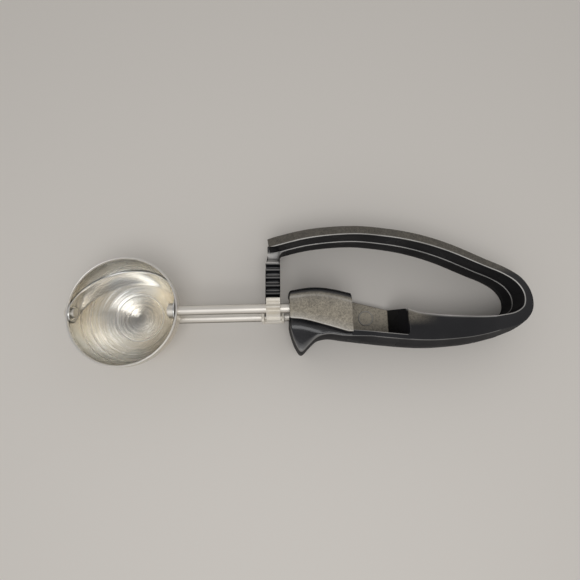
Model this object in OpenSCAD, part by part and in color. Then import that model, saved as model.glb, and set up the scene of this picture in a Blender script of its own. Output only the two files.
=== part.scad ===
// Squeeze-handle ice cream scoop: bowl, sweeping blade, rack and pinion drive, one-piece flexing handle.
// It lies on its flat back. X runs from the bowl to the handle's bend, Z is up, the table is Z = 0.
// The origin is on the handle's flat back, behind the block.

/* [Bowl] */
// Outer radius of the bowl
bowl_r = 23; // [20:0.5:26]
// Wall of the bowl
bowl_wall = 0.7; // [0.5:0.1:1]
// Height of the straight rim above the pivot axis
rim_rise = 3.5; // [2.5:0.5:4.5]

/* [Blade] */
// Width of the scraper blade
blade_w = 8.5; // [6:0.5:10]
// Thickness of the blade
blade_t = 0.6; // [0.4:0.1:0.9]
// Gap between the blade and the bowl
blade_gap = 0.3; // [0.2:0.05:0.5]
// Angle of the resting blade below the rim plane
blade_rest = 35.5; // [30:0.5:45]
// Diameter of the sleeve on the rod inside the bowl
hub_d = 6.4; // [5.6:0.2:7.2]
// Length of that sleeve
hub_len = 2.4; // [1.8:0.2:3.2]
// Diameter of the far pivot pin
pin_d = 3; // [2.4:0.2:3.6]
// Diameter of its domed head
pin_head_d = 5.6; // [4.8:0.2:6.4]
// Height of its domed head
pin_head_h = 1.9; // [1.4:0.1:2.4]

/* [Rods] */
// Diameter of the turning rod
rod_d = 4.1; // [3.8:0.1:4.4]
// Radial clearance of running fits
fit = 0.05; // [0.03:0.01:0.1]
// Diameter of the shank
shank_d = 4.2; // [3.8:0.1:4.4]
// Depth of the shank's axis below the turning rod's axis
shank_drop = 11; // [10.8:0.1:11.5]
// Sideways offset of the shank from the rod
shank_side = 2; // [1:0.25:2.5]
// Distance from the bowl's centre to the block's front end
reach = 69.7; // [64:0.5:80]
// Length of the rod inside the block
rod_grip = 18; // [12:1:22]
// Length of the shank inside the block
shank_grip = 22; // [16:1:23]

/* [Rack and pinion] */
// Gear module
gear_m = 1.12; // [1.08:0.01:1.14]
// Number of pinion teeth
pinion_teeth = 7; // [7:1:7]
// Flank angle of the rack
flank = 14.5; // [12:0.5:18]
// Play between the rack's teeth and the pinion's
backlash = 0.52; // [0.48:0.02:0.6]
// Face width of the pinion
pinion_w = 5.9; // [5:0.1:6.2]
// Distance from the block's front end to the middle of the pinion
rack_off = 7; // [6.6:0.05:8]
// Sideways offset of the toothed bar from the pinion's middle
bar_side = 0.45; // [0:0.05:0.6]
// Width of the toothed bar
rack_w = 6.3; // [5.6:0.1:6.5]
// Depth of the toothed bar behind the pitch line
rack_back = 4.68; // [4.2:0.02:4.8]
// Teeth cut in the bar
rack_teeth = 6; // [5:1:6]
// Lean of the bar at rest
rack_lean = 0.9; // [0.6:0.1:2.6]
// Play of the bar in its guide, each side
guide_play = 0.55; // [0.45:0.05:0.7]
// Thickness of the guide's left cheek
cheek_l = 1.3; // [1:0.1:2]
// Thickness of the guide's right cheek
cheek_r = 1.1; // [0.8:0.1:1.5]
// Wall of the guide beside the shank
guide_wall = 0.8; // [0.6:0.1:1.2]

/* [Handle] */
// Depth of the grip and the arm
grip_h = 22; // [20:0.5:24]
// Cover of plastic over the turning rod
rod_cover = 1.95; // [1.5:0.05:3]
// Length of the block
block_len = 25.8; // [24:0.2:27]
// Thickness of the pocket's web
web_t = 4.5; // [3:0.5:6]
// Length of the pocket's floor
pocket_len = 19.5; // [17:0.5:20]
// Length of the ramp at the pocket's far end
ramp_len = 4.8; // [3:0.2:6]
// Crown of the grip's lower side
crown = 2.8; // [1.5:0.1:3.2]
// Radius of the moulded edges
edge_r = 0.8; // [0.5:0.1:1.2]
// Thickness of the arm at its front end
arm_t = 3.7; // [3:0.1:4.2]
// Thickness of the arm where it meets the bend
arm_t_end = 2.6; // [2.2:0.1:3.2]
// Width of the neck that carries the toothed bar
neck_w = 5.5; // [5:0.1:6]
// Height of the neck's front at the arm
neck_front = 11; // [10:0.5:12]
// Height of the neck's back at the arm
neck_back = 4; // [3:0.5:5]
// Radius where the neck joins the arm
neck_fillet = 2; // [1:0.25:2.5]

/* [Hidden] */
$fn = 48;
eps = 0.01;
steel = [0.80, 0.81, 0.80];
cast = [0.78, 0.74, 0.66];
black = [0.09, 0.09, 0.10];

// Where the origin lies behind the block, from the block's front end
rest_x = 12;
rod_z = bowl_r;
shank_z = rod_z - shank_drop;
bowl_in = bowl_r - bowl_wall;
blade_out = bowl_in - blade_gap;
blade_in = blade_out - blade_t;
pitch_r = gear_m * pinion_teeth / 2;
pinion_r = pitch_r + gear_m;
pitch = PI * gear_m;
tooth_depth = 1.25 * gear_m;
rack_z = rod_z - pitch_r;
pinion_x = -rack_off;
rack_x = pinion_x - bar_side;
guide_x = rack_x + 0.1;
rack_end = -2.6;
shoulder_y = rack_teeth * pitch - 0.75;
split_y = shoulder_y + 0.4;
guide_w = rack_w + 2 * guide_play;
guide_floor = shank_z + shank_d / 2 - 0.4;
guide_top = rod_z - rod_d / 2 - 1.95;
guide_len = shank_d + 2 * guide_wall;
block_top = rod_z + rod_d / 2 + rod_cover;
grip_len = 88.3;
neck_run = 4.4;
neck_rise = 2.5;
neck_step = 6.3;
neck_toe = 0.8;
arm_in = arm_t + 30;
cut = 4 * grip_h;
pocket_x = [for (k = [0:9]) block_len - 3 + (pocket_len + ramp_len + 6) * k / 9];

// Outlines in the handle's frame: x from the block's front end, y from the rod's axis
low_line = [[-0.2, -8.4], [1.3, -14.4], [3.2, -18.6], [4.3, -19.5], [5.5, -18.9], [7.5, -16.8], [10.7, -13.9],
    [13.2, -12.9], [17, -12.5], [25, -13.8], [40, -15.9], [57.5, -17.4], [grip_len - 15, -16.7],
    [grip_len, -13.9]];
top_line = [[-0.2, 7.7], [5, 8.6], [11.4, 9], [19.1, 7.9], [28.6, 5.3], [45.4, 0.8], [54, -3.2], [65.7, -4.7],
    [grip_len - 8.1, -5.3], [grip_len, -4.9]];
face_high = [[-0.2, 4], [11, 4.7], [18.5, 3.5], [block_len, 1.5]];
face_low = [[-0.2, -4.5], [5.7, -5.2], [15.5, -8], [block_len, -11.3]];
rail_line = [[20, -9.2], [block_len, -9.4], [40.5, -11], [49.1, -12], [60, -13]];
stations = [-0.2, 0.5, 1.3, 2.2, 3.2, 4.3, 5.5, 6.5, 7.5, 9, 10.7, 13.2, 15, 17, 21, block_len, block_len + 1.2,
    32, 37, 42, 47, for (k = [0:6]) 51 + (grip_len - 51) * k / 6];

// Middle line of the arm and the bend: [x, y, thickness]
arm_line = [[-8.9, 29.35, arm_t], [9.1, 33.4, 3.6], [28, 34.6, 3.3], [43, 33.1, 3.2], [56.5, 30.3, 3.1],
    [grip_len - 18.3, 25.6, 2.9], [grip_len - 2.8, 18.2, arm_t_end]];
bend_line = [[grip_len - 2.8, 18.2, arm_t_end], [grip_len + 4.7, 14.6, 2.5], [grip_len + 10.6, 10.3, 2.7],
    [grip_len + 13.8, 4.4, 3.1], [grip_len + 13.3, -2.2, 4.6], [grip_len + 8.4, -6.9, 6.9],
    [grip_len, -9.4, 9]];

cut_way = bend_line[1] - arm_line[5];
arm_rings = rings_of(smooth(arm_line, 4), grip_h, edge_r, 0, 0, arm_line[1] - arm_line[0], cut_way);
// The arm's inner face near its front end, run on past the end
arm_inside = [for (i = [0:9]) [arm_rings[i][12][0], arm_rings[i][12][1]]];
arm_face = concat([[-cut, arm_inside[0][1] - 0.22 * cut]], arm_inside, [[arm_inside[9][0], cut], [-cut, cut]]);
// Where the neck's side runs into the arm
neck_side = rack_x + neck_w / 2 + arm_line[0][1] * sin(rack_lean) - 0.2;
arm_side = lookup(neck_side + neck_fillet, arm_inside) - neck_fillet + 0.15;

// Smooth curves
function slope(t, i) = let(a = max(i - 1, 0), b = min(i + 1, len(t) - 1)) (t[b] - t[a]) / (b - a);
function blend(t, i, s) = let(m = slope(t, i), n = slope(t, i + 1), q = s * s, c = q * s)
    t[i] * (1 - 3 * q + 2 * c) + t[i + 1] * (3 * q - 2 * c) + m * (s - 2 * q + c) + n * (c - q);
function smooth(t, n) = [for (i = [0:len(t) - 2], k = [0:n - 1]) blend(t, i, k / n), t[len(t) - 1]];
function rise(t, i) = let(a = max(i - 1, 0), b = min(i + 1, len(t) - 1)) (t[b][1] - t[a][1]) / (t[b][0] - t[a][0]);
function span(t, x, i = 0) = (i >= len(t) - 2 || x < t[i + 1][0]) ? i : span(t, x, i + 1);
function curve(t, x) = let(i = span(t, x), h = t[i + 1][0] - t[i][0], s = (x - t[i][0]) / h, q = s * s, c = q * s)
    t[i][1] * (1 - 3 * q + 2 * c) + t[i + 1][1] * (3 * q - 2 * c)
    + h * (rise(t, i) * (s - 2 * q + c) + rise(t, i + 1) * (c - q));

// A closed skin over rings of equal length
module loft(rings) {
    n = len(rings[0]);
    m = len(rings);
    side = [for (i = [0:m - 2], j = [0:n - 1]) let(a = i * n + j, b = i * n + (j + 1) % n)
        each [[a, a + n, b], [b, a + n, b + n]]];
    polyhedron(points = [for (r = rings, p = r) p],
        faces = concat([[for (j = [0:n - 1]) j]], side, [[for (j = [n - 1:-1:0]) (m - 1) * n + j]]),
        convexity = 8);
}

// Section of a moulded band from 0 to t: flat inside, crowned by c outside, edges of radius r
function band(t, h, r, c) = let(k = 0.29 * r, e = t - c)
    [[e - r, 0], [e - k, k], [e, r], [t - c / 4, 0.25 * h], [t, h / 2], [t - c / 4, 0.75 * h], [e, h - r],
     [e - k, h - k], [e - r, h], [r, h], [k, h - k], [0, h - r], [0, h / 2], [0, r], [k, k], [r, 0]];

// Rings of a band along a line [x, y, thickness] between two end directions, the inside on the right of the way
function ring_at(p, d, h, r, c) = let(n = [-d[1], d[0]] / norm(d))
    [for (q = band(p[2], h, r, c)) [p[0] + n[0] * (q[0] - p[2] / 2), p[1] + n[1] * (q[0] - p[2] / 2), q[1]]];
function rings_of(t, h, r, c0, c1, first, last) = let(m = len(t) - 1)
    [for (i = [0:m]) let(d = i == 0 ? first : i == m ? last : t[i + 1] - t[i - 1])
        ring_at(t[i], [d[0], d[1]], h, r, c0 + (c1 - c0) * pow(i / m, 3))];

// Section of the block and the grip at x
function grip_ring(x) = let(
        lo = curve(low_line, x), hi = curve(top_line, x), on = x <= block_len ? 1 : 0,
        c = 1.4 + (crown - 1.4) * min(1, max(0, (x - 22) / 12)), r = edge_r, k = 0.29 * r,
        e = lo + c, zs = on ? grip_h - 0.5 : grip_h - r, top = on ? block_top : grip_h,
        fh = on ? curve(face_high, x) : hi - r, fl0 = on ? curve(face_low, x) : hi - 2 * r,
        fl = max(fl0, e + r + 0.6), foot = max(fl - 3.4, e + r + 0.2), w = fl - foot, u = hi - fh)
    [for (p = [[e + r, 0], [hi - r, 0], [hi - k, k], [hi, r], [hi, zs],
        [fh + u * cos(30), zs + (top - zs) * sin(30)], [fh + u * cos(60), zs + (top - zs) * sin(60)],
        [fh, top], [fl, top],
        [fl - w * (1 - cos(30)), top - (top - grip_h) * sin(30)],
        [fl - w * (1 - cos(60)), top - (top - grip_h) * sin(60)],
        [foot, grip_h], [e + r, grip_h], [e + k, grip_h - k], [e, grip_h - r], [lo + c / 4, 0.75 * grip_h],
        [lo, grip_h / 2], [lo + c / 4, 0.25 * grip_h], [e, r], [e + k, k]]) [x, p[0], p[1]]];

module at_bowl() {
    translate([-reach - rest_x, 0, 0]) children();
}

module at_handle() {
    translate([-rest_x, 0, 0]) children();
}

// A round bar along X
module bar(x0, x1, d, z = rod_z, y = 0) {
    translate([x0, y, z]) rotate([0, 90, 0]) cylinder(d = d, h = x1 - x0);
}

module bowl() {
    color(steel) at_bowl() difference() {
        union() {
            translate([0, 0, rod_z]) rotate_extrude($fn = 96) intersection() {
                difference() {
                    circle(r = bowl_r);
                    circle(r = bowl_in);
                }
                translate([0, -bowl_r]) square([bowl_r, bowl_r]);
            }
            translate([0, 0, rod_z]) rotate_extrude($fn = 96) polygon([[bowl_in, 0], [bowl_r, 0],
                [bowl_r, rim_rise - bowl_wall / 3], [bowl_r - bowl_wall / 3, rim_rise],
                [bowl_in + bowl_wall / 3, rim_rise], [bowl_in, rim_rise - bowl_wall / 3]]);
        }
        bar(bowl_in - 2, bowl_r + 2, rod_d + 2 * fit);
        bar(-bowl_r - 2, -bowl_in + 2, pin_d);
    }
}

module scraper_blade() {
    color(steel) at_bowl() translate([0, 0, rod_z]) rotate([-blade_rest, 0, 0]) difference() {
        intersection() {
            difference() {
                sphere(r = blade_out, $fn = 96);
                sphere(r = blade_in, $fn = 96);
            }
            union() {
                translate([-bowl_r, 0, -blade_w / 2]) cube([2 * bowl_r, bowl_r, blade_w]);
                rotate([0, 90, 0]) cylinder(d = blade_w, h = 2 * bowl_r, center = true);
            }
        }
        bar(0, bowl_r, rod_d, z = 0);
        bar(-bowl_r, 0, pin_d + 2 * fit, z = 0);
    }
}

module blade_hub() {
    color(steel) at_bowl() intersection() {
        difference() {
            bar(blade_in - hub_len, bowl_r, hub_d);
            bar(0, bowl_r + 1, rod_d);
        }
        translate([0, 0, rod_z]) sphere(r = blade_in, $fn = 96);
    }
}

module far_pivot_pin() {
    color(steel) at_bowl() union() {
        bar(-bowl_r - 0.3, -blade_in + 0.3, pin_d);
        intersection() {
            translate([-bowl_r - pin_head_h + pin_head_d * 0.62, 0, rod_z]) sphere(r = pin_head_d * 0.62);
            difference() {
                bar(-bowl_r - pin_head_h, -bowl_in + 1, pin_head_d);
                translate([0, 0, rod_z]) sphere(r = bowl_r, $fn = 96);
                translate([0, 0, rod_z]) cylinder(r = bowl_r, h = pin_head_d, $fn = 96);
            }
        }
        bar(-blade_in + 0.3, -blade_in + 1.1, pin_d + 1.4);
    }
}

module drive_rod() {
    color(steel) at_bowl() bar(blade_in - hub_len - 0.6, reach + rod_grip, rod_d);
}

// Pinion outline, one tooth up
module pinion_2d() {
    difference() {
        union() {
            circle(r = pitch_r - tooth_depth);
            for (i = [0:pinion_teeth - 1]) rotate(90 + i * 360 / pinion_teeth)
                polygon([[0, -0.52 * gear_m], [0.82 * pitch_r, -0.52 * gear_m], [pitch_r, -0.55 * gear_m],
                    [pinion_r, -0.27 * gear_m], [pinion_r, 0.27 * gear_m], [pitch_r, 0.55 * gear_m],
                    [0.82 * pitch_r, 0.52 * gear_m], [0, 0.52 * gear_m]]);
        }
        circle(d = rod_d);
    }
}

module pinion() {
    color(cast) at_handle() translate([pinion_x - pinion_w / 2, 0, rod_z])
        rotate([90, 0, 90]) linear_extrude(pinion_w) pinion_2d();
}

module shank() {
    color(steel) at_bowl() difference() {
        bar(bowl_r * 0.6, reach + shank_grip, shank_d, z = shank_z, y = -shank_side);
        translate([0, 0, rod_z]) sphere(r = bowl_r, $fn = 96);
    }
}

module rack_guide() {
    x0 = guide_x - guide_w / 2 - cheek_l;
    color(cast) at_handle() difference() {
        translate([x0, -shank_side - guide_len / 2, shank_z - guide_len / 2])
            cube([cheek_l + guide_w + cheek_r, guide_len, guide_top - shank_z + guide_len / 2]);
        translate([guide_x - guide_w / 2, -shank_side - guide_len, guide_floor])
            cube([guide_w, 2 * guide_len, bowl_r]);
        bar(x0 - 1, 0, shank_d, z = shank_z, y = -shank_side);
    }
}

module handle_grip() {
    color(black) at_handle() difference() {
        loft([for (x = stations) grip_ring(x)]);
        intersection() {
            translate([0, cut / 2, 0]) rotate([90, 0, 0]) linear_extrude(cut)
                polygon([[block_len + 0.3, web_t], [block_len + pocket_len, web_t],
                    [block_len + pocket_len + ramp_len, grip_h + eps],
                    [block_len + pocket_len + ramp_len, grip_h + 10], [block_len + 0.3, grip_h + 10]]);
            linear_extrude(cut) polygon(concat([for (x = pocket_x) [x, curve(rail_line, x)]],
                [[pocket_x[9], cut], [pocket_x[0], cut]]));
        }
        bar(-1, rod_grip + 1, rod_d + 2 * fit);
        bar(-1, shank_grip, shank_d, z = shank_z, y = -shank_side);
    }
}

module spring_bend() {
    color(black) at_handle() loft(rings_of(smooth(bend_line, 4), grip_h, edge_r, 0, crown, cut_way, [-1, 0]));
}

module lever_arm() {
    color(black) at_handle() loft(arm_rings);
}

// Puts a profile drawn in Y and Z across the toothed bar's width
module across(w) {
    translate([rack_x, 0, 0]) rotate([0, 0, -rack_lean]) translate([-w / 2, 0, 0])
        rotate([90, 0, 90]) linear_extrude(w) children();
}

module rack_neck() {
    tip = rack_z + gear_m;
    color(black) at_handle() difference() {
        union() {
            across(neck_w) polygon([[split_y, rack_z - rack_back],
                [split_y + 0.64 * neck_run, neck_back + neck_rise], [split_y + neck_run, neck_back],
                [arm_in, neck_back], [arm_in, neck_front], [split_y + neck_step, neck_front],
                [split_y + 0.8 * neck_step, neck_front + neck_toe], [split_y + 0.3, tip], [split_y, tip]]);
            translate([neck_side, arm_side, neck_back + edge_r / 2]) difference() {
                translate([-neck_w / 4, 0, 0])
                    cube([neck_fillet + neck_w / 4, arm_in - arm_side, neck_front - neck_back - edge_r]);
                translate([neck_fillet, 0, -1]) cylinder(r = neck_fillet, h = grip_h);
            }
        }
        translate([0, 0, -1]) linear_extrude(grip_h) polygon(arm_face);
    }
}

module rack() {
    hp = (pitch / 2 - backlash) / 2;
    ht = hp - gear_m * tan(flank);
    hr = hp + tooth_depth * tan(flank);
    root = rack_z - tooth_depth;
    color(black) at_handle() across(rack_w) union() {
        translate([rack_end, rack_z - rack_back]) square([split_y - rack_end, rack_back - tooth_depth]);
        for (i = [0:rack_teeth - 1]) translate([i * pitch, 0])
            polygon([[-hr, root - eps], [hr, root - eps], [ht, rack_z + gear_m], [-ht, rack_z + gear_m]]);
        polygon([[shoulder_y - hr + ht, root - eps], [split_y, root - eps], [split_y, rack_z + gear_m],
            [shoulder_y, rack_z + gear_m]]);
    }
}

bowl();
scraper_blade();
blade_hub();
far_pivot_pin();
drive_rod();
pinion();
shank();
rack_guide();
handle_grip();
spring_bend();
lever_arm();
rack_neck();
rack();
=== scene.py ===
"""Dresses the squeeze-handle ice cream scoop: handle, rack, pinion, guide, bowl, blade, finishes and stage."""
import math

import bmesh
import bpy
from bpy.props import FloatProperty, FloatVectorProperty, IntProperty, PointerProperty
from mathutils import Matrix, Vector


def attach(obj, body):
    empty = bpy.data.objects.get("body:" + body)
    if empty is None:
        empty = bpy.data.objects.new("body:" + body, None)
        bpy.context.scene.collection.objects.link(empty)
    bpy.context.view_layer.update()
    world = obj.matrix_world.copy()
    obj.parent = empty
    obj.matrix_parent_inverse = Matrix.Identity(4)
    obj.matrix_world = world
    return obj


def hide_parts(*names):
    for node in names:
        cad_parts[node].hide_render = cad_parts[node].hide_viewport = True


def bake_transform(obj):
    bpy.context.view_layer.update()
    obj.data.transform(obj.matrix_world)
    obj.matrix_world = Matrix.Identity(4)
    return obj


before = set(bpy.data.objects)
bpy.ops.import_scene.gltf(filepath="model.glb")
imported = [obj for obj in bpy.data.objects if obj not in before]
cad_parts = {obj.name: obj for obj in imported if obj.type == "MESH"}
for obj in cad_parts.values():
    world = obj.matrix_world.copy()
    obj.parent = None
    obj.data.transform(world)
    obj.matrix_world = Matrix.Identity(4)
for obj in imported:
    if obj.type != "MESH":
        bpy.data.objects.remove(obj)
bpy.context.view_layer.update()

bl_info = {
    "name": "Squeeze Scoop Dresser",
    "version": (1, 0, 0),
    "blender": (4, 5, 0),
    "location": "3D View > Sidebar > Scoop",
    "description": "Builds the visible pieces of a squeeze-handle ice cream scoop over its solid model",
    "category": "Object",
}

MM = 0.001

# Millimetres in the part's frame. Tables of the handle count x from REST_X in front of the frame's origin.
REST_X = 12.0
ROD_Z = 23.0
FACE_Z = 27.0
WEB_Z = 4.5
MARK_X, MARK_Y = 23.0, -2.7


# ---------------------------------------------------------------- node wrapper

class Sock:
    """A shader socket or a number that takes part in Python expressions."""

    def __init__(self, tree, link):
        self.tree, self.link = tree, link

    def _math(self, op, *args, swap=False):
        args = [self, *args]
        if swap:
            args.reverse()
        return self.tree.node("ShaderNodeMath", {"operation": op}, dict(enumerate(args)))[0]

    def __add__(self, o): return self._math("ADD", o)
    def __radd__(self, o): return self._math("ADD", o, swap=True)
    def __sub__(self, o): return self._math("SUBTRACT", o)
    def __rsub__(self, o): return self._math("SUBTRACT", o, swap=True)
    def __mul__(self, o): return self._math("MULTIPLY", o)
    def __rmul__(self, o): return self._math("MULTIPLY", o, swap=True)
    def __truediv__(self, o): return self._math("DIVIDE", o)
    def __pow__(self, o): return self._math("POWER", o)
    def abs(self): return self._math("ABSOLUTE")
    def minimum(self, o): return self._math("MINIMUM", o)
    def maximum(self, o): return self._math("MAXIMUM", o)

    def ramp(self, low, high, smooth=True):
        """0 below low, 1 above high."""
        return self.tree.node("ShaderNodeMapRange",
                              {"interpolation_type": "SMOOTHSTEP" if smooth else "LINEAR"},
                              {"Value": self, "From Min": low, "From Max": high})["Result"]


class Outs:
    """The outputs of one node, by name or number."""

    def __init__(self, tree, node):
        self.tree, self.node = tree, node

    def __getitem__(self, key):
        return Sock(self.tree, self.node.outputs[key])


class Finish:
    """The node tree of one material, or of the world."""

    def __init__(self, name, block=None, end="ShaderNodeOutputMaterial"):
        self.mat = block or bpy.data.materials.new(name)
        self.mat.use_nodes = True
        self.nt = self.mat.node_tree
        self.nt.nodes.clear()
        self.out = self.nt.nodes.new(end)

    def node(self, kind, settings=None, inputs=None):
        made = self.nt.nodes.new(kind)
        for key, value in (settings or {}).items():
            if key == "stops":
                ramp = made.color_ramp
                while len(ramp.elements) < len(value):
                    ramp.elements.new(0.5)
                for element, (pos, col) in zip(ramp.elements, value):
                    element.position, element.color = pos, (*col, 1)
            else:
                setattr(made, key, value)
        for key, value in (inputs or {}).items():
            if isinstance(value, Sock):
                self.nt.links.new(value.link, made.inputs[key])
            else:
                made.inputs[key].default_value = value
        return Outs(self, made)

    def place(self):
        """Object coordinates in metres."""
        return self.node("ShaderNodeTexCoord")["Object"]

    def parts(self, vector):
        return self.node("ShaderNodeSeparateXYZ", None, {0: vector})

    def stretch(self, vector, scale, turn=(0, 0, 0)):
        return self.node("ShaderNodeMapping", None, {"Vector": vector, "Scale": scale, "Rotation": turn})[0]

    def noise(self, vector, scale, detail=3.0, rough=0.5):
        return self.node("ShaderNodeTexNoise", None, {"Vector": vector, "Scale": scale, "Detail": detail,
                                                      "Roughness": rough})["Fac"]

    def mix(self, factor, a, b):
        made = self.node("ShaderNodeMix", {"data_type": "RGBA"}, {0: factor})
        for index, value in ((6, a), (7, b)):
            if isinstance(value, Sock):
                self.nt.links.new(value.link, made.node.inputs[index])
            else:
                made.node.inputs[index].default_value = (*value[:3], 1)
        return Sock(self, made.node.outputs[2])

    def bump(self, height, strength, distance):
        return self.node("ShaderNodeBump", None,
                         {"Height": height, "Strength": strength, "Distance": distance})["Normal"]

    def shader(self, **inputs):
        return self.node("ShaderNodeBsdfPrincipled", None,
                         {key.replace("_", " "): value for key, value in inputs.items()})[0]

    def surface(self, shader):
        self.nt.links.new(shader.link, self.out.inputs[0])
        return self.mat


# ---------------------------------------------------------------- finishes

def black_nylon(name, grain, gloss):
    """Moulded black nylon: grained face and pocket, duller side walls; grained zones painted beige as a
    painted sheen, edges painted lighter as worn edges and painted highlight.
    """
    f = Finish(name)
    p = f.place()
    x, y, z = (f.parts(p)[key] * 1000 for key in "XYZ")
    up = f.parts(f.node("ShaderNodeNewGeometry")["Normal"])["Z"]
    # The wear attribute holds worn edges and painted highlight: it marks where edges, ledges and tooth lines
    # are painted lighter.
    wear = f.node("ShaderNodeAttribute", {"attribute_name": "wear"})["Fac"]
    cloud = f.noise(p, 60.0, 2.0)
    fine = f.noise(p, 2600.0, 2.0, 0.6)
    pits = f.noise(p, 1100.0, 3.0, 0.6)
    patch = f.noise(p, 330.0, 2.0, 0.5)
    # Grained zones: the block face and pocket floor carry real grain; the arm front and grip end are added
    # only for the painted sheen. All of them are painted beige below.
    face = z.ramp(26.2, 26.8)
    web = (1 - z.ramp(4.9, 5.6)) * x.ramp(13.6, 14.0) * (1 - x.ramp(33.0, 34.2)) * up.ramp(0.5, 0.9)
    arm_front = y.ramp(12.0, 17.0) * z.ramp(20.8, 21.6) * up.ramp(0.75, 0.95) * 0.45
    grip_end = (1 - x.ramp(39.0, 52.0)) * x.ramp(36.5, 38.5) * y.ramp(-9.0, -4.0) * z.ramp(21.0, 21.8) * 0.5
    grained_and_sheen = face.maximum(web).maximum(arm_front).maximum(grip_end)
    wall = 1 - up.abs().ramp(0.2, 0.85)
    # Worn edges and painted highlight, only on upward-facing surfaces.
    rubbed_and_glint = wear * (0.6 + cloud.ramp(0.35, 0.65) * 0.4) * up.ramp(0.0, 0.4)
    rough = 0.62 + (pits - 0.5) * 0.2 + (cloud - 0.5) * 0.1 - rubbed_and_glint * 0.25
    shine = (1 - wall * 0.85 - grained_and_sheen * 0.25 + rubbed_and_glint * 0.4 + (cloud - 0.5) * 0.3).minimum(1.0).maximum(0.0)
    colour = f.mix(cloud.ramp(0.3, 0.7), (0.008, 0.008, 0.010), (0.014, 0.014, 0.016))
    mottle = fine.ramp(0.35, 0.65) * 0.45 + pits.ramp(0.38, 0.62) * 0.35 + patch.ramp(0.3, 0.7) * 0.2
    # Painted light in the beige zones: darker towards +y (painted shade), the pocket floor lighter and lighter
    # inside the round mark (painted highlight), darker on the mark's ring (painted shade).
    spot = ((x - MARK_X) ** 2 + (y - MARK_Y) ** 2) ** 0.5
    mark = 1 - web * (1 - (spot - 3.25).abs().ramp(0.1, 0.5)) * 0.45
    shade = (1 - y.ramp(-2.0, 6.0) * 0.35) * mark * (0.9 + web * (0.35 + (1 - spot.ramp(2.6, 3.0)) * 0.3))
    # Painted sheen: the grained zones are painted beige with grain mottle, standing for the lamp's broad
    # reflection.
    colour = f.mix(grained_and_sheen * (0.35 + mottle * 0.65) * shade, colour, (0.52, 0.465, 0.37))
    # Painted highlight and wear: worn edges and ledges are painted pale grey.
    colour = f.mix(rubbed_and_glint, colour, (0.74, 0.72, 0.69))
    normal = f.bump((fine * 0.4 + pits) * (0.25 + grained_and_sheen * 0.75), 0.6 * grain, 0.00012)
    dull = f.shader(Base_Color=colour, Roughness=rough, Normal=normal, IOR=1.12)
    glossy = f.shader(Base_Color=colour, Roughness=gloss + (cloud - 0.5) * 0.1, Normal=normal, IOR=1.6)
    return f.surface(f.node("ShaderNodeMixShader", None, {0: shine, 1: dull, 2: glossy})[0])


def polished_steel(name, rough, lines, colour=(0.80, 0.80, 0.79), painted_side_shade=0.0):
    """Polished stainless steel with fine wear scratches; a painted shade darkens what faces sideways, standing
    for dark reflections at the flanks.
    """
    f = Finish(name)
    p = f.place()
    fine = f.noise(f.stretch(p, lines), 900.0, 4.0, 0.6)
    wear = f.noise(p, 90.0, 3.0)
    scratch = f.noise(f.stretch(p, (6.0, 0.6, 1.0), (0.2, 0.4, 0.7)), 700.0, 2.0, 0.7).ramp(0.62, 0.72)
    tone = f.mix(wear.ramp(0.35, 0.75), colour, tuple(c * 0.93 for c in colour))
    side = 1 - f.parts(f.node("ShaderNodeNewGeometry")["Normal"])["Z"].ramp(0.2, 0.65)
    # Painted shade: sideways-facing surfaces are painted dark brown-grey.
    tone = f.mix(side * painted_side_shade, tone, (0.16, 0.14, 0.12))
    return f.surface(f.shader(Base_Color=tone, Metallic=1.0,
                              Roughness=rough + (fine - 0.5) * rough * 0.6 + wear * 0.03 + scratch * 0.06,
                              Normal=f.bump(fine + scratch * 0.4, 0.12, 0.00002)))


# Wiped rings inside the bowl: radius, width and strength
BOWL_RINGS = ((10.7, 0.4, 0.7), (14.3, 0.3, 0.4), (17.0, 0.25, 0.35), (19.4, 0.3, 0.5), (21.3, 0.2, 0.4))


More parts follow.
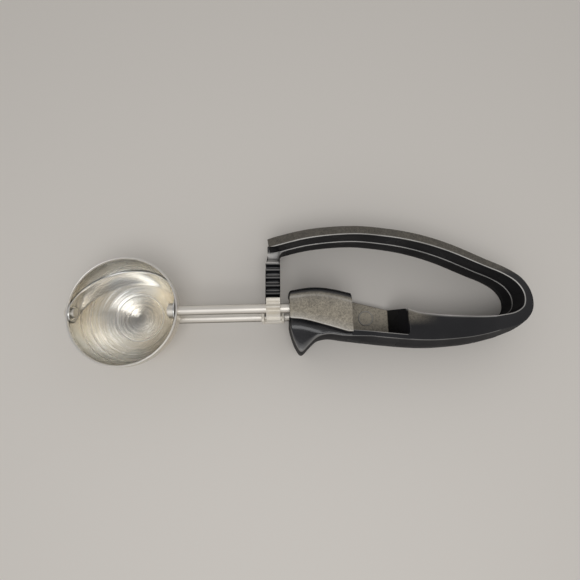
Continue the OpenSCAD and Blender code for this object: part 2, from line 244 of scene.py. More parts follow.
def spun_steel(name, centre):
    """Spun stainless steel: fine rings round the bowl's axis, wiped, lightly stained and scratched; painted
    shade under the rim's lip and towards the bowl's +Y side.
    """
    f = Finish(name)
    p = f.place()
    q = f.node("ShaderNodeVectorMath", {"operation": "SUBTRACT"}, {0: p, 1: centre})[0]
    flat = f.node("ShaderNodeVectorMath", {"operation": "MULTIPLY"}, {0: q, 1: (1, 1, 0)})[0]
    radius = f.node("ShaderNodeVectorMath", {"operation": "LENGTH"}, {0: flat})["Value"] * 1000
    depth = f.parts(q)["Z"] * 1000
    rim = depth.ramp(2.3, 2.5)
    along = radius + depth * 0.8
    line = f.node("ShaderNodeCombineXYZ", None, {0: along, 1: radius * 0.02})[0]
    fine = f.noise(line, 5.0, 2.0, 0.6)
    broad = f.noise(line, 0.5, 2.0, 0.5)
    wipe = f.noise(p, 70.0, 3.0)
    stain = f.noise(p, 35.0, 1.0).ramp(0.4, 0.65)
    specks = f.noise(p, 1500.0, 3.0, 0.7).ramp(0.58, 0.75)
    tone = f.mix(wipe.ramp(0.3, 0.7), (0.82, 0.79, 0.73), (0.73, 0.75, 0.75))
    tone = f.mix(stain * 0.7, tone, (0.84, 0.74, 0.57))
    # Painted shade: the bowl's +Y side is painted a darker cool grey, standing for the darker reflection
    # there.
    tone = f.mix((f.parts(q)["Y"] * 1000).ramp(4.0, 18.0) * 0.35, tone, (0.58, 0.60, 0.60))
    tone = f.mix(specks * 0.6, tone, (0.33, 0.32, 0.29))
    ring = sum((1 - (radius - at).abs().ramp(0.08, wide)) * much for at, wide, much in BOWL_RINGS)
    ring = ring * (1 - depth.ramp(-1.0, 0.0))
    # Painted shade: a dark band just under the rim's inward lip.
    lip_shade = depth.ramp(1.5, 1.9) * (1 - rim) * 0.6
    tone = f.mix(lip_shade, tone, (0.36, 0.33, 0.28))
    tone = f.mix((rim + ring).minimum(1.0) * 0.8, tone, (0.88, 0.85, 0.82))
    return f.surface(f.shader(Base_Color=tone, Metallic=1.0,
                              Roughness=0.20 + (broad - 0.5) * 0.16 + (wipe - 0.5) * 0.08 + specks * 0.12
                              + (rim + ring) * 0.2,
                              Normal=f.bump((fine + broad * 4.0) * radius.ramp(0.5, 6.0), 1.0, 0.00008)))


def cast_zinc(name):
    """Matt tumbled cast metal of the pinion and the guide."""
    f = Finish(name)
    p = f.place()
    grain = f.noise(p, 2200.0, 3.0, 0.6)
    cloud = f.noise(p, 260.0, 2.0)
    edge = f.node("ShaderNodeNewGeometry")["Pointiness"].ramp(0.5, 0.6)
    tone = f.mix(cloud.ramp(0.3, 0.7), (0.78, 0.73, 0.64), (0.84, 0.79, 0.71))
    tone = f.mix(edge * 0.5, tone, (0.88, 0.85, 0.78))
    return f.surface(f.shader(Base_Color=tone, Metallic=0.4, Roughness=0.52 + (grain - 0.5) * 0.3,
                              Normal=f.bump(grain, 0.3, 0.00004)))


# ---------------------------------------------------------------- mesh helpers

def to_object(name, verts, faces, smooth, wear=()):
    """A mesh object from points in millimetres: sharp above the angle smooth, with the wear and painted
    highlight of each point.
    """
    mesh = bpy.data.meshes.new(name)
    mesh.from_pydata([Vector(v) * MM for v in verts], [], faces)
    bm = bmesh.new()
    bm.from_mesh(mesh)
    # This layer carries worn edges and painted highlight for the finish.
    layer = bm.verts.layers.float.new("wear")
    for vert, amount in zip(bm.verts, wear):
        vert[layer] = amount
    bmesh.ops.remove_doubles(bm, verts=bm.verts, dist=1e-7)
    bmesh.ops.dissolve_degenerate(bm, dist=1e-6, edges=bm.edges)
    bmesh.ops.recalc_face_normals(bm, faces=bm.faces)
    if bm.calc_volume(signed=True) < 0:
        bmesh.ops.reverse_faces(bm, faces=bm.faces)
    bm.to_mesh(mesh)
    bm.free()
    mesh.update()
    obj = bpy.data.objects.new(name, mesh)
    bpy.context.collection.objects.link(obj)
    for poly in mesh.polygons:
        poly.use_smooth = True
    mesh.set_sharp_from_angle(angle=math.radians(smooth))
    return obj


def skin(rings, closed_ring=True, caps=True):
    """Points and faces of a skin over rings of equal length."""
    n, m = len(rings[0]), len(rings)
    verts = [p for r in rings for p in r]
    faces = []
    for i in range(m - 1):
        for j in range(n if closed_ring else n - 1):
            k = (j + 1) % n
            faces.append((i * n + j, i * n + k, (i + 1) * n + k, (i + 1) * n + j))
    if caps:
        faces.append(tuple(range(n - 1, -1, -1)))
        faces.append(tuple((m - 1) * n + j for j in range(n)))
    return verts, faces


# Points per corner of a section, the wear and painted highlight along them, and the wear and painted highlight
# of each corner by number
ROUND = 7
ARC_WEAR_AND_GLINT = (0.3, 0.8, 1.0, 0.8, 0.3, 0.0, 0.0)
RUBBED_AND_GLINT = {0: 0.2, 2: 0.8, 3: 0.8, 4: 1.0, 7: 0.35, 8: 0.8, 12: 0.4, 18: 0.2}


def rounded(points, radii, arc=5, along=2):
    """A closed outline with each corner rounded, always the same number of points."""
    n, out = len(points), []
    for i in range(n):
        p, a, b = (Vector(points[k % n]) for k in (i, i - 1, i + 1))
        da, db = a - p, b - p
        la, lb = da.length, db.length
        d = min(radii[i], 0.45 * la, 0.45 * lb)
        s = p + da * (d / la) if la > 1e-9 else p
        e = p + db * (d / lb) if lb > 1e-9 else p
        for k in range(arc):
            t = k / (arc - 1)
            out.append(s * (1 - t) ** 2 + p * (2 * t * (1 - t)) + e * t ** 2)
        nxt = min(radii[(i + 1) % n], 0.45 * lb, 0.45 * (Vector(points[(i + 2) % n]) - b).length)
        f = b - db * (nxt / lb) if lb > 1e-9 else b
        for k in range(1, along + 1):
            out.append(e + (f - e) * (k / (along + 1)))
    return out


def inset(outline, d):
    """The outline moved inwards by d."""
    n, out = len(outline), []
    pairs = [(outline[i], outline[(i + 1) % n]) for i in range(n)]
    area = sum(a.x * b.y - b.x * a.y for a, b in pairs)
    sign = 1 if area > 0 else -1
    for i in range(n):
        t = outline[(i + 1) % n] - outline[i - 1]
        if t.length < 1e-9:
            out.append(outline[i])
            continue
        t.normalize()
        out.append(outline[i] + Vector((-t.y, t.x)) * (d * sign))
    return out


BEVEL_ROWS = 3


def extrude(outline, frame_matrix, width, bevel):
    """Rings of a straight bar: outline in (y, z), width along x, both ends with a rounded edge."""
    turns = [math.radians(90 * k / BEVEL_ROWS) for k in range(BEVEL_ROWS + 1)]
    steps = [(bevel * (1 - math.cos(a)), bevel * (1 - math.sin(a))) for a in turns]
    rings = []
    for x, d in steps:
        rings.append([frame_matrix @ Vector((x, q.x, q.y)) for q in inset(outline, d)])
    for x, d in reversed(steps):
        rings.append([frame_matrix @ Vector((width - x, q.x, q.y)) for q in inset(outline, d)])
    return skin(rings)


def herm(table, x):
    """Smooth curve through the table's (x, y) points."""
    last = len(table) - 1
    i = 0
    while i < last - 1 and x >= table[i + 1][0]:
        i += 1

    def rise(k):
        a, b = max(k - 1, 0), min(k + 1, last)
        return (table[b][1] - table[a][1]) / (table[b][0] - table[a][0])
    h = table[i + 1][0] - table[i][0]
    s = (x - table[i][0]) / h
    q, c = s * s, s * s * s
    return (table[i][1] * (1 - 3 * q + 2 * c) + table[i + 1][1] * (3 * q - 2 * c)
            + h * (rise(i) * (s - 2 * q + c) + rise(i + 1) * (c - q)))


def smooth_line(points, steps):
    """Smooth run through points, steps per span."""
    pts = [Vector(p) for p in points]
    last = len(pts) - 1

    def slope(k):
        a, b = max(k - 1, 0), min(k + 1, last)
        return (pts[b] - pts[a]) / (b - a)
    out = []
    for i in range(last):
        m, n = slope(i), slope(i + 1)
        for k in range(steps):
            s = k / steps
            q, c = s * s, s * s * s
            out.append(pts[i] * (1 - 3 * q + 2 * c) + pts[i + 1] * (3 * q - 2 * c) + m * (s - 2 * q + c)
                       + n * (c - q))
    out.append(pts[-1])
    return out


def adopt(obj, body, mat, slot, *nodes):
    """Gives a piece its finish and body, and hides the solids it stands for."""
    obj.data.materials.append(mat)
    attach(obj, body)
    if nodes:
        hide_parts(*nodes)


# ---------------------------------------------------------------- sizes of the solid model

REACH = 69.7
BOWL = Vector((-REACH - REST_X, 0, ROD_Z))
# (x, y) of the handle's lower and upper edge, of the face's two edges and of the pocket's rail
LOW = [(-0.2, -8.4), (1.3, -14.4), (3.2, -18.6), (4.3, -19.5), (5.5, -18.9), (7.5, -16.8), (10.7, -13.9),
       (13.2, -12.9), (17, -12.5), (25, -13.8), (40, -15.9), (57.5, -17.4), (73.3, -16.7),
       (81.5, -15.5), (88.3, -13.9)]
HIGH = [(-0.2, 7.7), (5, 8.6), (11.4, 9), (19.1, 7.9), (28.6, 5.3), (45.4, 0.8), (54, -2.4), (61, -3.6),
        (68, -4.25), (75, -4.7), (82, -4.95), (88.3, -4.85)]
FACE_HIGH = [(-0.2, 4), (11, 4.7), (18.5, 3.5), (25.8, 1.5)]
FACE_LOW = [(-0.2, -4.5), (5.7, -5.2), (15.5, -8), (25.8, -11.3)]
RAIL = [(20, -9.2), (25.8, -9.4), (40.5, -11), (49.1, -12), (60, -13)]
# (x, y) of the middle line of the arm and the bend, with their thickness
ARM = [(-8.9, 29.35, 3.7), (9.1, 33.4, 3.6), (28, 34.6, 3.3), (43, 33.1, 3.2), (56.5, 30.3, 3.1),
       (70, 25.6, 2.9), (85.5, 18.2, 2.6)]
BEND = [(85.5, 18.2, 2.6), (93, 14.6, 2.5), (98.9, 10.3, 2.7), (102.1, 4.4, 3.1), (101.6, -2.2, 4.6),
        (96.7, -6.9, 6.9), (88.3, -9.4, 9)]
BLOCK_END, POCKET_END, RAMP_END, GRIP_END = 25.8, 45.3, 50.1, 88.3


# ---------------------------------------------------------------- settings

class ScoopHandleSettings(bpy.types.PropertyGroup):
    depth: FloatProperty(name="Depth", description="Depth of the grip and the arm", default=0.022,
                         unit="LENGTH")
    edge: FloatProperty(name="Edge radius", description="Radius of the moulded edges", default=0.0008,
                        unit="LENGTH")
    grain: FloatProperty(name="Grain", description="Strength of the moulded grain", default=1.0,
                         min=0, max=2)


class ScoopMetalSettings(bpy.types.PropertyGroup):
    bowl_radius: FloatProperty(name="Bowl radius", description="Outer radius of the bowl", default=0.023,
                               unit="LENGTH")
    wall: FloatProperty(name="Wall", description="Wall of the bowl", default=0.0007, unit="LENGTH")
    blade_width: FloatProperty(name="Blade width", description="Width of the scraper blade", default=0.0085,
                               unit="LENGTH")
    steps: IntProperty(name="Steps", description="Facets round the bowl", default=160, min=32)


class ScoopStageSettings(bpy.types.PropertyGroup):
    floor: FloatVectorProperty(name="Floor", description="Colour of the floor", subtype="COLOR", size=3,
                               default=(0.80, 0.765, 0.72), min=0, max=1)
    key: FloatProperty(name="Key light", description="Power of the main lamp", default=0.42, unit="POWER")
    room: FloatProperty(name="Room light", description="Strength of the soft light all round",
                        default=0.60, min=0)


# ---------------------------------------------------------------- handle

def eased(x, start, end, low, high, soft):
    """A slope from low to high between start and end, its two corners rounded."""
    line = low + (high - low) * (x - start) / (end - start)
    for corner, level, sign in ((start, low, 1), (end, high, -1)):
        k = (x - corner) * sign
        if k < -soft:
            line = level
        elif k < soft:
            rise = (high - low) / (end - start)
            line = level + sign * rise * (k + soft) ** 2 / (4 * soft)
    return line


def crown(x):
    """How far the outer side swells at x."""
    return 1.4 + 1.4 * min(1, max(0, (x - 22) / 12))


RAMP_R = 1.3


def front_points(x, s):
    """Eight points over the front of the moulding at x, (u, z), with their corner radii."""
    h = s.depth / MM
    hi, lo = herm(HIGH, x), herm(LOW, x)
    front = hi - lo - crown(x)
    if x <= BLOCK_END:
        lap = max(0.0, x - (BLOCK_END - 0.5))
        top = FACE_Z - 0.5 + math.sqrt(max(0.0, 0.25 - lap ** 2))
        u1, u2 = hi - herm(FACE_HIGH, x), min(hi - herm(FACE_LOW, x), front - 1.4)
        u3, zc = min(u2 + 3.4, front - 0.8), h - 0.5
        w = u3 - u2
        return [(0, zc), (u1 * 0.134, zc + (top - zc) * 0.5),
                (u1 * 0.5, zc + (top - zc) * 0.866), (u1, top), (u2, top),
                (u2 + w * 0.134, top - (top - h) * 0.5), (u2 + w * 0.5, top - (top - h) * 0.866),
                (u3, h)], [1.2, 1.2, 1.2, 0.7, 0.5, 1, 1, 1]
    floor = eased(x, POCKET_END, RAMP_END, WEB_Z, h, 0.45)
    u = min(hi - herm(RAIL, min(x, 60)), front - 1)
    turn = x - (RAMP_END - RAMP_R)
    if 0 < turn < RAMP_R:
        u -= RAMP_R - math.sqrt(RAMP_R ** 2 - turn ** 2)
    elif turn >= RAMP_R:
        u -= RAMP_R
    return [(0, floor), (u * 0.3, floor), (u * 0.7, floor), (u, floor), (u + 0.02, h),
            (u + (front - u) * 0.3, h), (u + (front - u) * 0.6, h), (u + (front - u) * 0.85, h)], \
           [0.55, 0.2, 0.2, min(0.9, (h - floor) * 0.4), 0.5, 0.2, 0.2, 0.2]


def section(mid, radii, t, c, s, lean):
    """Closed outline (u, z): back edge, inner face with its parting ledge, front, crowned outer side."""
    h, r = s.depth / MM, s.edge / MM
    seam = min(h / 2, mid[0][1] * 0.5)
    inner = [(0, 0), (-0.1 * lean, seam - 0.35), (-1.2 * lean, seam), (-0.35 * lean, seam + 0.1)]
    crown = [(t - c * ((z - 0.5) / 0.5) ** 2, z * h) for z in (0.85, 0.7, 0.5, 0.3, 0.15)]
    pts = inner + [(mid[0][0] - lean, mid[0][1])] + mid[1:] + [(t - c, h)] + crown + [(t - c, 0)]
    return rounded(pts, [r, 0.05, 0.12, 0.05] + radii + [r + 0.2] + [1.2] * 5 + [r])


def at_station(x, s):
    """Outline of the block or the grip at x, and its place."""
    hi, lo = herm(HIGH, x), herm(LOW, x)
    mid, radii = front_points(x, s)
    return section(mid, radii, hi - lo, crown(x), s, 0.0)


def in_plane(outline, origin, outwards, bulge=0.0):
    """Lifts an outline (u, z) to the part's frame, swollen forwards at mid height by bulge."""
    out = []
    for q in outline:
        x, y = origin[0] + outwards[0] * q.x, origin[1] + outwards[1] * q.x
        x -= bulge * max(0, 1 - ((q.y - 11) / 11) ** 2)
        out.append(Vector((x - REST_X, y, q.y)))
    return out


def handle_rings(s):
    """All rings of the one-piece moulding, from the block's front end to the arm's tip."""
    rings = []

    def lift(x, outline):
        rings.append(in_plane(outline, (x, herm(HIGH, x)), (0, -1), 0.6 * max(0.0, 1 - (x + 0.2) / 6) ** 2))

    for k in range(5):
        a = math.radians(22.5 * k)
        x = -0.2 + 0.8 * (1 - math.cos(a))
        lift(x, inset(at_station(x, s), 0.8 * (1 - math.sin(a))))
    spots = [0.9 + 0.35 * k for k in range(24)] + [9.3 + 0.8 * k for k in range(20)]
    spots += [BLOCK_END - 0.5 + 0.5 * math.sin(math.radians(15 * k)) for k in range(7)]
    spots += [BLOCK_END + 0.001 + 0.05 * k for k in range(2)]
    spots += [BLOCK_END + 0.6 + 0.9 * k for k in range(20)]
    spots += [POCKET_END - 0.6 + 0.2 * k for k in range(34)] + [RAMP_END + 1.6 + 0.9 * k for k in range(40)]
    for x in spots:
        if x < GRIP_END - 1.3:
            lift(x, at_station(x, s))
    block = len(rings)
    h = s.depth / MM
    bend = smooth_line(BEND, 10)
    way = list(reversed(smooth_line(ARM, 12)[:-1] + bend))
    total, m = len(way) - 1, len(bend) - 1
    for i, p in enumerate(way):
        d = way[min(i + 1, total)] - way[max(i - 1, 0)]
        if i == 0:
            d = d.normalized() + Vector((1, 0, 0))
        n = Vector((d.y, -d.x)).normalized()
        c = 2.8 * max(0, 1 - i / m) ** 3
        t, front = p.z - 0.02, p.z - c
        lean = 0.5 * min(1, i / 30)
        mid = [(0, h)] + [(front * k / 8, h) for k in range(1, 8)]
        outline = section(mid, [0.8] + [0.1] * 7, t, c, s, lean)
        if i > total - 3:
            outline = inset(outline, (0, 0.12, 0.45)[i - total + 2])
        rings.append(in_plane(outline, (p.x - n.x * p.z / 2, p.y - n.y * p.z / 2), (n.x, n.y)))
    return rings, block


class SCOOP_OT_handle(bpy.types.Operator):
    """Builds the one-piece moulded handle: block, spur, pocket, grip, bend and arm"""
    bl_idname = "scoop.handle"
    bl_label = "Moulded handle"

    def execute(self, context):
        s = context.scene.scoop_handle
        rings, block = handle_rings(s)
        # Worn edges and painted highlight of each point: edges, the parting ledge and rims are painted
        # lighter.
        wear = []
        for i, ring in enumerate(rings):
            if i >= block:
                bare = (7, 8, 12)
            else:
                bare = (7, 8) if ring[0].x > RAMP_END - REST_X - 1 else ()
            fade = 0.45 + 0.55 * min(1, (i - block) / 80)
            for j, v in enumerate(ring):
                corner = j // ROUND
                rim = v.z > 20 or corner in (0, 2, 3, 18)
                share = ARC_WEAR_AND_GLINT[j % ROUND] if corner not in (2, 3) else fade
                wear.append(RUBBED_AND_GLINT.get(corner, 0) * share * rim * (corner not in bare))
        obj = to_object("moulded_handle", *skin(rings), smooth=50.0, wear=wear)
        obj.data.materials.append(black_nylon("grained nylon", s.grain, 0.27))
        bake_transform(obj)
        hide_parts("handle_grip", "spring_bend", "lever_arm")
        # Raised ring on the pocket floor: radial offset, height and wear; the wear paints its top lighter as
        # painted highlight.
        bead = ((-0.32, -0.1, 0.0), (-0.22, 0.2, 0.3), (0, 0.3, 0.5), (0.22, 0.2, 0.3), (0.32, -0.1, 0.0))
        steps, radius = 48, 3.2
        rings = []
        for k in range(steps):
            a = 2 * math.pi * k / steps
            rings.append([Vector((MARK_X + (radius + d) * math.cos(a), MARK_Y + (radius + d) * math.sin(a),
                                  WEB_Z - 0.02 + z)) for d, z, _ in bead])
        rings.append(rings[0])
        mark = to_object("pocket_mark", *skin(rings, caps=False), smooth=60.0,
                         wear=[amount for _, _, amount in bead] * (steps + 1))
        adopt(mark, "frame", obj.data.materials[0], "black_nylon")
        return {"FINISHED"}


# ---------------------------------------------------------------- drive

GEAR, TEETH = 1.12, 7
PITCH_R = GEAR * TEETH / 2
PITCH = math.pi * GEAR
PINION_X = -7.0 - REST_X
PINION_W = 5.9
RACK_X, RACK_Z = PINION_X - 0.45, ROD_Z - PITCH_R
RACK_TEETH, RACK_W, NECK_W = 6, 6.3, 5.5
GUIDE_X = RACK_X + 0.1
LEAN = math.radians(-0.9)
# (y, wear and painted highlight) along the neck
NECK_WEAR_AND_GLINT = [(19.9, 1.0), (20.8, 1.0), (21.3, 0.7), (25.3, 0.7), (25.8, 1.0), (27.6, 1.0),
             (28.4, 0.0), (30.7, 0.0)]


def rack_frame(width):
    """Matrix from (x, y, z) across the bar to the part's frame."""
    across = Matrix.Translation((-width / 2, 0, 0))
    return Matrix.Translation((RACK_X, 0, 0)) @ Matrix.Rotation(LEAN, 4, "Z") @ across


class SCOOP_OT_rack(bpy.types.Operator):
    """Builds the toothed bar and its recessed neck"""
    bl_idname = "scoop.rack"
    bl_label = "Rack and neck"

    def execute(self, context):
        s = context.scene.scoop_handle
        hp = (PITCH / 2 - 0.52) / 2
        flank = math.tan(math.radians(14.5))
        ht, hr = hp - GEAR * flank, hp + 1.25 * GEAR * flank
        tip, root, back = RACK_Z + GEAR, RACK_Z - 1.25 * GEAR, RACK_Z - 4.68
        edge = RACK_TEETH * PITCH - 1.1
        pts, rad = [(-2.6, back), (-2.6, root)], [0.3, 0.2]
        for i in range(RACK_TEETH):
            c = i * PITCH
            pts += [(c - hr, root), (c - ht, tip), (c + ht, tip), (c + hr, root)]
            rad += [0.25, 0.14, 0.14, 0.25]
        pts += [(edge - hr + ht, root), (edge, tip), (edge + 0.45, tip), (edge + 0.45, back)]
        rad += [0.25, 0.2, 0.02, 0.02]
        arc, along = 4, 3
        ring, tooth = (arc + along) * len(pts), (arc + along) * 4
        verts, faces = extrude(rounded(pts, rad, arc, along), rack_frame(RACK_W), RACK_W, 0.18)
        # Painted highlight: tooth tips and one line at each root are painted lighter through the wear values.
        wear = [0.2 * (abs(v.z - tip) < 0.1) + 1.0 * (abs(v.z - root) < 0.02 and k % ring % tooth == 12)
                for k, v in enumerate(verts)]
        bar = to_object("toothed_bar", verts, faces, smooth=35.0, wear=wear)
        nylon = black_nylon("toothed nylon", s.grain * 0.5, 0.30)
        adopt(bar, "lever", nylon, "black_nylon", "rack")
        e = edge + 0.4
        neck = [(e - 0.3, back), (e + 2.8, 6.5), (e + 4.4, 4), (30.6, 4), (30.6, 12.2), (e + 6.8, 11.4),
                (e + 4.6, 10.8), (e + 2.8, 14.8), (e + 0.35, tip), (e - 0.3, tip)]
        radii = [0.3, 1.5, 1.2, 0.1, 0.1, 0.3, 0.35, 0.5, 0.45, 0.2]
        verts, faces = extrude(rounded(neck, radii, 6, 3), rack_frame(NECK_W), NECK_W, 0.35)
        slant = [(RACK_X - v.x) * 0.24 * (v.y > 22) for v in verts]
        # Painted highlight: the neck's facets are painted lighter through the wear values.
        wear = [max(0.0, herm(NECK_WEAR_AND_GLINT, v.y + d)) * (v.z > 10) for v, d in zip(verts, slant)]
        post = to_object("rack_post", verts, faces, smooth=35.0, wear=wear)
        adopt(post, "lever", nylon, "black_nylon", "rack_neck")
        side = (rack_frame(NECK_W) @ Vector((NECK_W, 26, 0))).x
        inner = [p - Vector((0, p.z / 2, 0)) for p in smooth_line(ARM, 12)]
        r = 3.0
        wall = herm([(p.x - REST_X, p.y) for p in inner], side + r) - 0.65
        plan = [(side - 0.6, wall + 0.8), (side - 0.6, wall - r)]
        plan += [(side + r - r * math.cos(math.radians(a)), wall - r + r * math.sin(math.radians(a)))
                 for a in range(0, 91, 9)]
        plan = [Vector(q) for q in plan + [(side + r, wall + 0.8)]]
        rings = [[Vector((q.x, q.y, z)) for q in inset(plan, d)]
                 for z, d in ((4.2, 0.3), (4.5, 0), (10.6, 0), (10.9, 0.1), (11.05, 0.35))]
        # Painted highlight: the fillet's upper rings are painted lighter through the wear values.
        web = to_object("neck_fillet", *skin(rings), smooth=60.0,
                        wear=[w for w in (0, 0, 0.8, 1.0, 0.9) for q in plan])
        adopt(web, "lever", nylon, "black_nylon")
        return {"FINISHED"}


class SCOOP_OT_pinion(bpy.types.Operator):
    """Builds the open pinion and the guide that the bar runs through"""
    bl_idname = "scoop.pinion"
    bl_label = "Pinion and guide"

    def execute(self, context):
        zinc = cast_zinc("tumbled zinc")
        pts, rad = [], []
        root, tip = PITCH_R - 1.25 * GEAR, PITCH_R + GEAR - 0.003
        for k in range(TEETH):
            a = math.radians(90 + 360 * k / TEETH)
            side = math.pi / TEETH
            for along, across, r in ((root * math.cos(side), -root * math.sin(side) * 0.98, 0.5),
                                     (0.82 * PITCH_R, -0.52 * GEAR, 0.4), (PITCH_R, -0.55 * GEAR, 0.4),
                                     (tip, -0.27 * GEAR, 0.16), (tip, 0.27 * GEAR, 0.16),
                                     (PITCH_R, 0.55 * GEAR, 0.4), (0.82 * PITCH_R, 0.52 * GEAR, 0.4)):
                pts.append((along * math.cos(a) - across * math.sin(a),
                            along * math.sin(a) + across * math.cos(a)))
                rad.append(r)
        place = Matrix.Translation((PINION_X - PINION_W / 2, 0, ROD_Z))
        gear = to_object("open_pinion", *extrude(rounded(pts, rad, 4, 2), place, PINION_W, 0.15), smooth=35.0)
        adopt(gear, "drive", zinc, "cast_metal", "pinion")
        tall = [(-4.9, 9.1), (0.9, 9.1), (0.9, 19.0), (-4.9, 19.0)]
        low = [(-4.9, 9.1), (0.9, 9.1), (0.9, 13.7), (-4.9, 13.7)]
        for name, a, b, outline, r, bevel in (
                ("guide_left_cheek", GUIDE_X - 4.999, GUIDE_X - 3.7, tall, [1.4, 1.4, 0.9, 0.9], 0.2),
                ("guide_right_cheek", GUIDE_X + 3.7, GUIDE_X + 4.799, tall, [1.4, 1.4, 0.9, 0.9], 0.2),
                ("guide_saddle", GUIDE_X - 3.75, GUIDE_X + 3.75, low, [1.4, 1.4, 0.1, 0.1], 0.02)):
            place = Matrix.Translation((a, 0, 0))
            cheek = to_object(name, *extrude(rounded(outline, r, 6, 3), place, b - a, bevel), smooth=35.0)
            adopt(cheek, "frame", zinc, "cast_metal", "rack_guide")
        return {"FINISHED"}


# ---------------------------------------------------------------- bowl

class SCOOP_OT_bowl(bpy.types.Operator):
    """Builds the spun bowl with its rolled rim"""
    bl_idname = "scoop.bowl"
    bl_label = "Bowl"

    def execute(self, context):
        s = context.scene.scoop_metal
        R, w = s.bowl_radius / MM - 0.005, s.wall / MM
        prof = [(R * math.sin(math.radians(a)), -R * math.cos(math.radians(a))) for a in range(0, 91, 3)]
        prof += [(R, z) for z in (1.0, 2.2, 3.0)]
        prof += [(R - w / 2 + w / 2 * math.cos(math.radians(a)), 3.15 + w / 2 * math.sin(math.radians(a)))
                 for a in (15, 45, 75, 105, 135, 165)]
        prof += [(R - w - d, z) for d, z in ((0, 3.05), (0, 2.9), (0.06, 2.75), (0.13, 2.6), (0.13, 2.5),
                                             (0.05, 2.4), (0, 2.25), (0, 1.6), (0, 0.8))]
        prof += [((R - w) * math.sin(math.radians(a)), -(R - w) * math.cos(math.radians(a)))
                 for a in range(90, -1, -3)]
        prof[0], prof[-1] = (0.0, -R), (0.0, w - R)
        rings = []
        for k in range(s.steps + 1):
            a = 2 * math.pi * k / s.steps
            rings.append([BOWL + Vector((r * math.cos(a), r * math.sin(a), z)) for r, z in prof])
        obj = to_object("spun_bowl", *skin(rings, closed_ring=False, caps=False), smooth=60.0)
        steel = spun_steel("spun steel", BOWL * MM)
        adopt(obj, "frame", steel, "stainless", "bowl")
        return {"FINISHED"}


class SCOOP_OT_blade(bpy.types.Operator):
    """Builds the curved scraper blade"""
    bl_idname = "scoop.blade"
    bl_label = "Scraper blade"

    def execute(self, context):
        s = context.scene.scoop_metal
        outer, inner, half = 22.22, 21.62, s.blade_width / MM / 2
        tilt = math.radians(-35.5)
        m = Vector((0, math.cos(tilt), math.sin(tilt)))
        n = Vector((0, -math.sin(tilt), math.cos(tilt)))
        rings = []
        reach, thick = half / outer, outer - inner
        spots = [-reach * math.cos(math.radians(a)) for a in (4, 20, 40, 60, 80)]
        ends = [(a, math.sqrt(max(0.0, half ** 2 - (outer * a) ** 2))) for a in spots]
        stations = (ends + [(math.pi * k / 72, half) for k in range(73)]
                    + [(math.pi - a, w) for a, w in reversed(ends)])
        bead = [(thick / 2 * math.cos(math.radians(t)), thick / 2 * (1 - math.sin(math.radians(t))))
                for t in (67.5, 45, 22.5, 0, -22.5, -45, -67.5)]
        for a, w in stations:
            k = max(w - thick / 2, 0.02)
            row = [(k * (i / 3 - 1), 0.0) for i in range(7)] + [(k + e, d) for e, d in bead]
            row += [(k * (1 - i / 3), thick) for i in range(7)] + [(-k - e, d) for e, d in reversed(bead)]
            ring = []
            for side, d in row:
                c = math.sqrt(max(0.0, (outer - d) ** 2 - side ** 2))
                ring.append(BOWL + Vector((c * math.cos(a), 0, 0)) + m * (c * math.sin(a)) + n * side)
            rings.append(ring)
        obj = to_object("sweep_blade", *skin(rings), smooth=50.0)
        steel = polished_steel("brushed blade steel", 0.10, (3.0, 0.5, 1.0))
        adopt(obj, "drive", steel, "stainless", "scraper_blade")
        return {"FINISHED"}


class SCOOP_OT_rods(bpy.types.Operator):
    """Gives the rods, the sleeve and the pivot pin their drawn steel finish"""
    bl_idname = "scoop.rods"
    bl_label = "Rods and pins"

    def execute(self, context):
        # The last number is the strength of the painted side shade.
        drawn = polished_steel("drawn steel", 0.50, (0.04, 3.0, 3.0), (0.88, 0.84, 0.78), 0.9)
        pin = polished_steel("headed steel", 0.45, (1.0, 1.0, 1.0), (0.86, 0.82, 0.75))
        for node, mat in (("drive_rod", drawn), ("shank", drawn),
                          ("blade_hub", pin), ("far_pivot_pin", pin)):
            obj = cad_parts[node]
            obj.data.materials.clear()
            obj.data.materials.append(mat)
        return {"FINISHED"}


# ---------------------------------------------------------------- stage

SKY = ((0.0, (0.55, 0.54, 0.53)), (0.35, (1.0, 0.99, 0.97)), (0.72, (0.95, 0.94, 0.93)),
       (0.88, (0.50, 0.49, 0.48)), (1.0, (0.28, 0.28, 0.29)))
# Metres and degrees
KEY_AT, KEY_AIM, KEY_SIZE = (-0.0138, -0.1428, 0.395), (-0.01, 0, 0), 0.24
CAMERA_AT, CAMERA_TILT, CAMERA_TURN, LENS = (-0.0126519, -0.0277194, 0.1975), 11.5, -1.3246, 26.007
FLOOR_HALF, FLOOR_DROP = 1.5, 0.00005


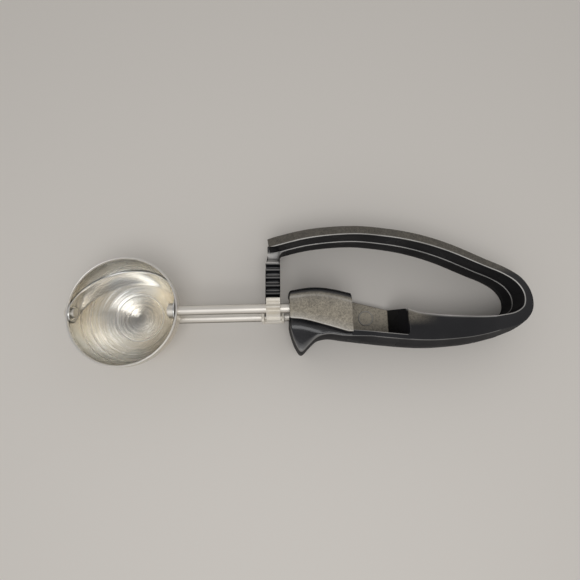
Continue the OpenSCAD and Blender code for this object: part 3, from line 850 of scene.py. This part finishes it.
class SCOOP_OT_stage(bpy.types.Operator):
    """Sets the floor, the lamp, the world and the camera"""
    bl_idname = "scoop.stage"
    bl_label = "Stage"

    def execute(self, context):
        s = context.scene.scoop_stage
        f = Finish("pale floor")
        paint = f.node("ShaderNodeBsdfDiffuse", None, {"Color": (*s.floor, 1)})
        f.nt.links.new(paint.node.outputs[0], f.out.inputs[0])
        mesh = bpy.data.meshes.new("floor")
        corners = ((-1, -1), (1, -1), (1, 1), (-1, 1))
        mesh.from_pydata([(x * FLOOR_HALF, y * FLOOR_HALF, 0) for x, y in corners], [], [(0, 1, 2, 3)])
        mesh.materials.append(f.mat)
        floor = bpy.data.objects.new("floor", mesh)
        floor.location.z = -FLOOR_DROP
        context.collection.objects.link(floor)
        world = bpy.data.worlds.new("soft room")
        sky = Finish("", world, "ShaderNodeOutputWorld")
        rise = sky.parts(sky.node("ShaderNodeTexCoord")["Generated"])["Z"]
        tone = sky.node("ShaderNodeValToRGB", {"stops": SKY}, {0: rise})["Color"]
        back = sky.node("ShaderNodeBackground", None, {"Color": tone, "Strength": s.room})
        sky.nt.links.new(back.node.outputs[0], sky.out.inputs[0])
        context.scene.world = world
        lamp = bpy.data.lights.new("key", "AREA")
        lamp.shape, lamp.size, lamp.energy = "DISK", KEY_SIZE, s.key
        obj = bpy.data.objects.new("key", lamp)
        obj.location = KEY_AT
        obj.rotation_euler = (Vector(KEY_AIM) - Vector(KEY_AT)).to_track_quat("-Z", "Y").to_euler()
        context.collection.objects.link(obj)
        cam = bpy.data.cameras.new("camera")
        cam.lens, cam.sensor_width = LENS, 36.0
        cam.clip_start, cam.clip_end = 0.01, 10
        obj = bpy.data.objects.new("camera", cam)
        turn = (Matrix.Rotation(math.radians(CAMERA_TURN), 4, "Z")
                @ Matrix.Rotation(math.radians(CAMERA_TILT), 4, "X"))
        obj.matrix_world = Matrix.Translation(CAMERA_AT) @ turn
        context.collection.objects.link(obj)
        context.scene.camera = obj
        context.scene.view_settings.view_transform = "Standard"
        return {"FINISHED"}


# ---------------------------------------------------------------- panel and registration

class SCOOP_PT_panel(bpy.types.Panel):
    """Lists the scoop's pieces"""
    bl_label = "Squeeze scoop"
    bl_idname = "SCOOP_PT_panel"
    bl_space_type = "VIEW_3D"
    bl_region_type = "UI"
    bl_category = "Scoop"

    def draw(self, context):
        for group in ("scoop_handle", "scoop_metal", "scoop_stage"):
            settings = getattr(context.scene, group)
            box = self.layout.box()
            for key in settings.__annotations__:
                box.prop(settings, key)
        for step in STEPS:
            self.layout.operator(step.bl_idname)


STEPS = (SCOOP_OT_handle, SCOOP_OT_rack, SCOOP_OT_pinion, SCOOP_OT_bowl, SCOOP_OT_blade, SCOOP_OT_rods,
         SCOOP_OT_stage)
GROUPS = {"scoop_handle": ScoopHandleSettings, "scoop_metal": ScoopMetalSettings,
          "scoop_stage": ScoopStageSettings}


def register():
    for cls in (*GROUPS.values(), *STEPS, SCOOP_PT_panel):
        bpy.utils.register_class(cls)
    for name, group in GROUPS.items():
        setattr(bpy.types.Scene, name, PointerProperty(type=group))


def unregister():
    for name in GROUPS:
        delattr(bpy.types.Scene, name)
    for cls in reversed((*GROUPS.values(), *STEPS, SCOOP_PT_panel)):
        bpy.utils.unregister_class(cls)


def main():
    """Registers the classes and builds every piece in order."""
    register()
    for step in STEPS:
        getattr(bpy.ops.scoop, step.bl_idname.split(".")[1])()


if __name__ == "__main__":
    main()
